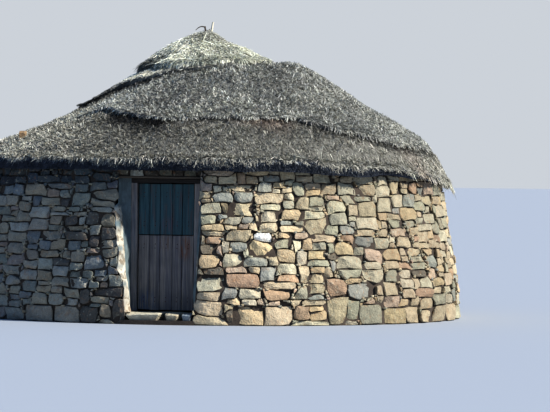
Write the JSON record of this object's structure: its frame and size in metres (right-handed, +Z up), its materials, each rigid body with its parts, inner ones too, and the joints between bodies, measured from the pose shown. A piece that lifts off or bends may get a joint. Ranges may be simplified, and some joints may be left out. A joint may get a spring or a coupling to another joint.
{
  "type": "rondavel hut",
  "caption": "Round stone hut with battered wall, beaten earth floor, low conical layered thatch on poles, and a low plank door in two hinged leaves.",
  "frame": {"origin": "on the ground at the middle of the round room", "axes": "+Z up, the doorway faces -Y, +X to the right of someone who faces the door from outside"},
  "size_m": [5.68, 5.68, 3.2881],
  "materials": {
    "rubble_stone": "rough field stone with deep dark joints",
    "beaten_earth": "beaten earth, smeared smooth and dull",
    "threshold_stone": "worn flat stone",
    "frame_wood": "weathered brown timber",
    "lintel_wood": "weathered boards",
    "lime_plaster": "hand-laid limewashed plaster",
    "leaf_wood": "weathered planks with worn blue-green paint",
    "ledge_wood": "rough sawn, unpainted",
    "hinge_iron": "rusted forged iron",
    "pole_wood": "smoke-browned round poles",
    "lath_wood": "split lath and stick",
    "grey_thatch": "weathered grey-brown grass thatch",
    "pale_thatch": "loose pale straw"
  },
  "bodies": {
    "hut": {"wall_segment_1": "rubble_stone", "wall_segment_2": "rubble_stone", "wall_segment_3": "rubble_stone", "wall_segment_4": "rubble_stone", "wall_segment_5": "rubble_stone", "wall_segment_6": "rubble_stone", "wall_segment_7": "rubble_stone", "wall_segment_8": "rubble_stone", "wall_segment_9": "rubble_stone", "door_pier_left": "rubble_stone", "door_pier_right": "rubble_stone", "wall_over_door": "rubble_stone", "earth_floor": "beaten_earth", "sill_bed": "rubble_stone", "threshold_slab": "threshold_stone", "step_stones": "threshold_stone", "frame_post_left": "frame_wood", "frame_post_right": "frame_wood", "frame_head": "frame_wood", "lintel_boards": "lintel_wood", "reveal_plaster_left": "lime_plaster", "reveal_plaster_right": "lime_plaster", "hinge_pins": "hinge_iron", "main_rafters": "pole_wood", "short_rafters": "pole_wood", "apex_boss": "pole_wood", "lath_hoops": "lath_wood", "thatch_eave_coat": "grey_thatch", "thatch_main_coat": "grey_thatch", "thatch_crown_coat": "grey_thatch", "thatch_cap": "pale_thatch", "pale_stick": "lath_wood", "dark_stick": "pole_wood"},
    "lower_leaf": {"lower_leaf_panel": "leaf_wood", "lower_leaf_ledges": "ledge_wood", "lower_leaf_straps": "hinge_iron"},
    "upper_leaf": {"upper_leaf_panel": "leaf_wood", "upper_leaf_ledges": "ledge_wood", "upper_leaf_straps": "hinge_iron"}
  },
  "joints": [
    {"name": "lower_leaf_hinge", "type": "hinge", "parent": "hut", "child": "lower_leaf", "pos_m": [-0.317, -2.288, 0.13], "axis": [0, 0, 1], "range_deg": [0, 100]},
    {"name": "upper_leaf_hinge", "type": "hinge", "parent": "hut", "child": "upper_leaf", "pos_m": [-0.317, -2.288, 0.94], "axis": [0, 0, 1], "range_deg": [0, 100]}
  ]
}
